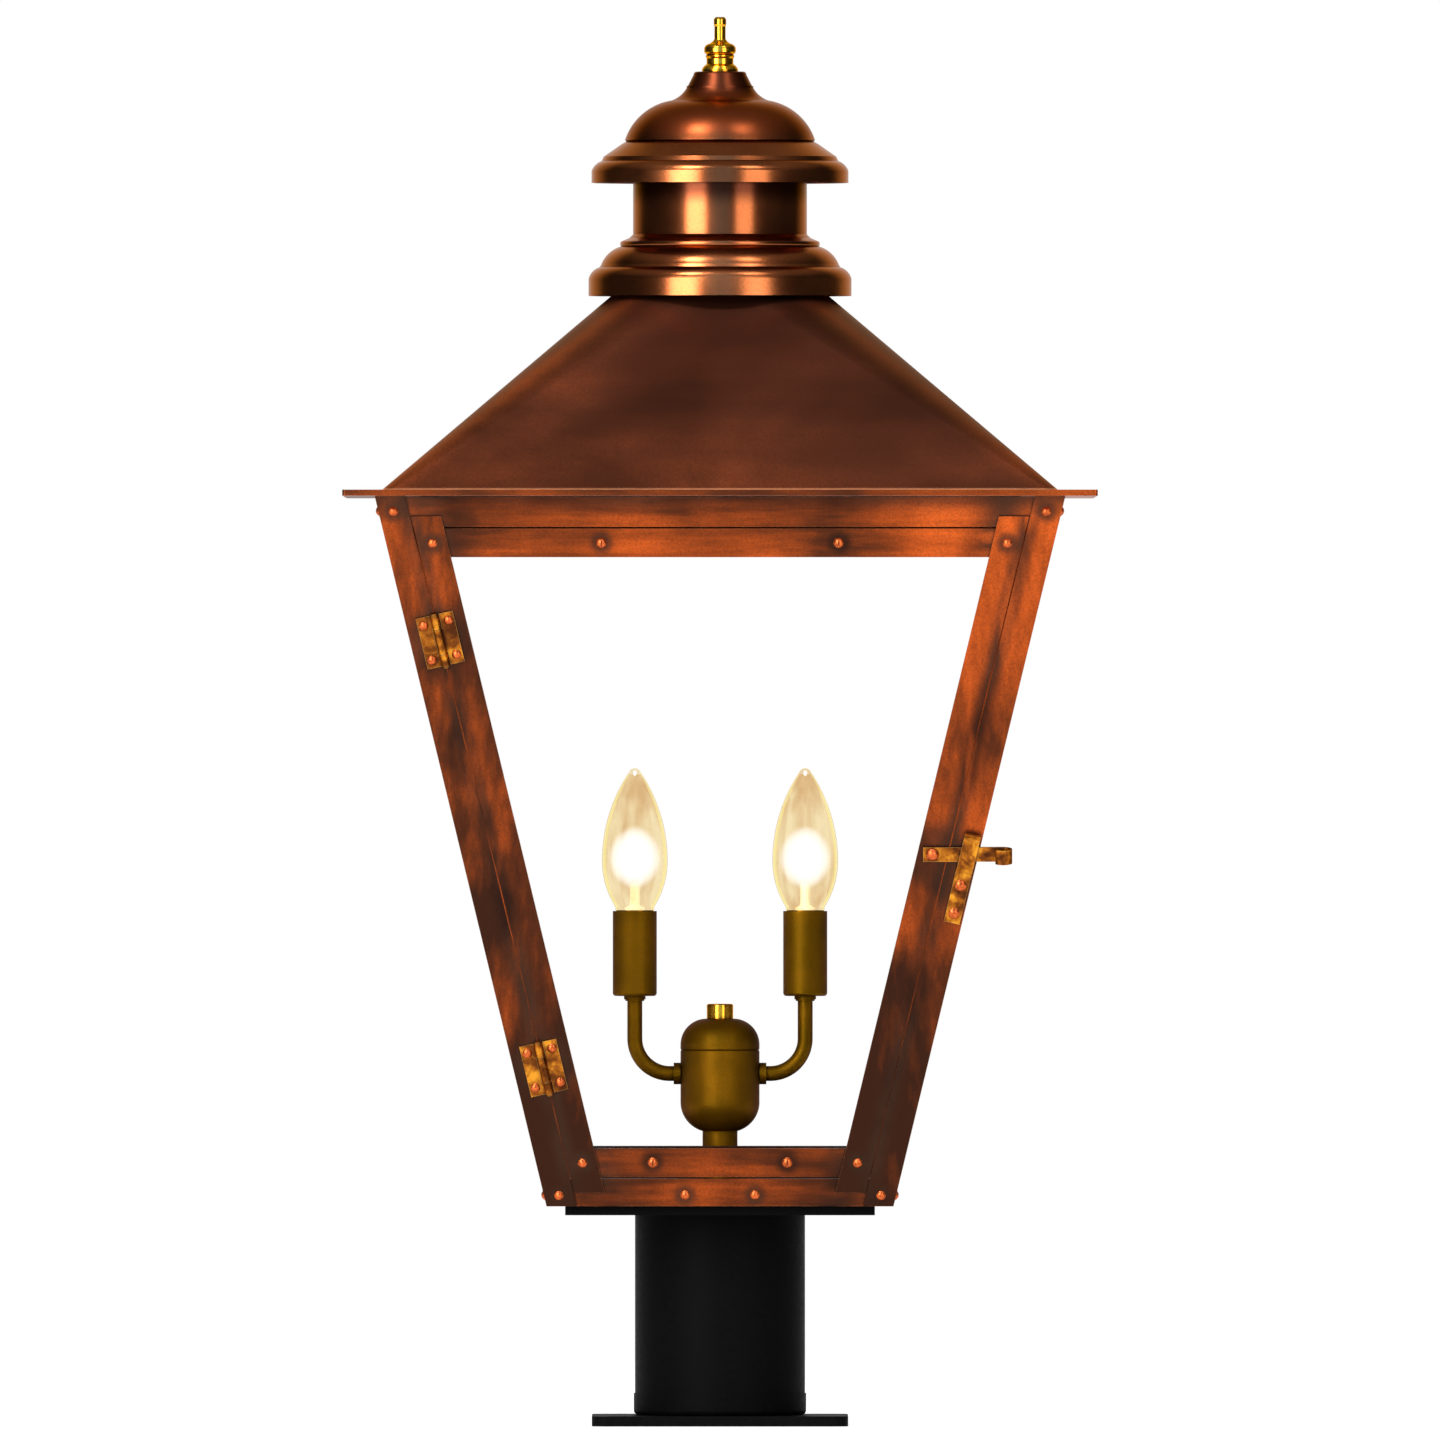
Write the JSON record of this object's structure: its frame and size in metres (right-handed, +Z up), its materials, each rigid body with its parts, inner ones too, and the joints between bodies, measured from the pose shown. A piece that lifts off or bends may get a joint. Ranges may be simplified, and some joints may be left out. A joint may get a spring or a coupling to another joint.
{
  "type": "post top lantern",
  "caption": "Square post top lantern with a hinged glazed door, a lifting latch bar, a vented four-sided roof and a candle light cluster, on a round pedestal with a bolt-down flange.",
  "frame": {"origin": "middle of the underside of the base flange", "axes": "+Z up through the finial, -Y out of the door, +X to the right seen from the front, where the latch is"},
  "size_m": [0.3754, 0.3754, 0.704],
  "materials": {
    "black_coat": "satin black powder coat",
    "steel": "plain zinc-plated steel",
    "antique_copper": "antiqued copper sheet with dark patina round the rivets",
    "roof_copper": "antiqued satin copper sheet",
    "copper_rivet": "bright copper",
    "aged_brass": "aged brass",
    "polished_brass": "polished brass",
    "olive_bronze": "satin olive bronze",
    "clear_glass": "clear pane",
    "bulb_glass": "clear lamp glass, lit warm",
    "white_ceramic": "white lamp mount",
    "phenolic": "dark phenolic socket"
  },
  "bodies": {
    "root": {"arm_collars": "olive_bronze", "base_bolts": "steel", "base_flange": "black_coat", "base_nuts": "steel", "base_top_plate": "black_coat", "bottom_rails": "antique_copper", "candle_sleeves": "olive_bronze", "cap_spacer": "steel", "cluster_arms": "olive_bronze", "cluster_body": "olive_bronze", "cluster_cap": "olive_bronze", "cluster_nut": "polished_brass", "corner_post_back_left": "antique_copper", "corner_post_back_right": "antique_copper", "corner_post_front_left": "antique_copper", "corner_post_front_right": "antique_copper", "eave_flange": "roof_copper", "finial": "polished_brass", "floor_pan": "antique_copper", "foot_ring": "black_coat", "frame_rivets": "copper_rivet", "glass_pane_back": "clear_glass", "glass_pane_left": "clear_glass", "glass_pane_right": "clear_glass", "glass_stops": "antique_copper", "hinge_leaves_frame": "aged_brass", "hinge_pins": "aged_brass", "lamp_sockets": "phenolic", "latch_keeper": "aged_brass", "pedestal_tube": "black_coat", "roof_shell": "roof_copper", "socket_cups": "olive_bronze", "stem_locknut": "steel", "stem_pipe": "steel", "stem_sleeve": "olive_bronze", "stop_screws": "steel", "tie_rod": "steel", "tie_rod_nut": "steel", "top_rails": "antique_copper", "vent_bridge": "steel", "vent_cap": "roof_copper", "vent_drum": "roof_copper", "vent_skirt": "roof_copper"},
    "door": {"door_stile_left": "antique_copper", "door_stile_right": "antique_copper", "door_rail_top": "antique_copper", "door_rail_bottom": "antique_copper", "door_glass": "clear_glass", "door_stop": "antique_copper", "door_rivets": "copper_rivet", "door_screws": "copper_rivet", "hinge_leaves_door": "aged_brass", "latch_rivet": "copper_rivet"},
    "latch": {"latch_bar": "aged_brass"},
    "bulb_left": {"bulb_glass_left": "bulb_glass", "bulb_base_left": "polished_brass", "bulb_mount_left": "white_ceramic"},
    "bulb_right": {"bulb_glass_right": "bulb_glass", "bulb_base_right": "polished_brass", "bulb_mount_right": "white_ceramic"}
  },
  "joints": [
    {"name": "door_swing", "type": "hinge", "parent": "root", "child": "door", "pos_m": [-0.11355, -0.13089, 0.28539], "axis": [0.2279, 0.2279, -0.9466], "range_deg": [0, 105]},
    {"name": "latch_lift", "type": "hinge", "parent": "door", "child": "latch", "pos_m": [0.10575, -0.12914, 0.28581], "axis": [0, -0.9722, -0.2341], "range_deg": [0, 65]},
    {"name": "bulb_left_out", "type": "slide", "parent": "root", "child": "bulb_left", "axis": [0, 0, 1], "range_m": [0, 0.026]},
    {"name": "bulb_right_out", "type": "slide", "parent": "root", "child": "bulb_right", "axis": [0, 0, 1], "range_m": [0, 0.026]}
  ]
}
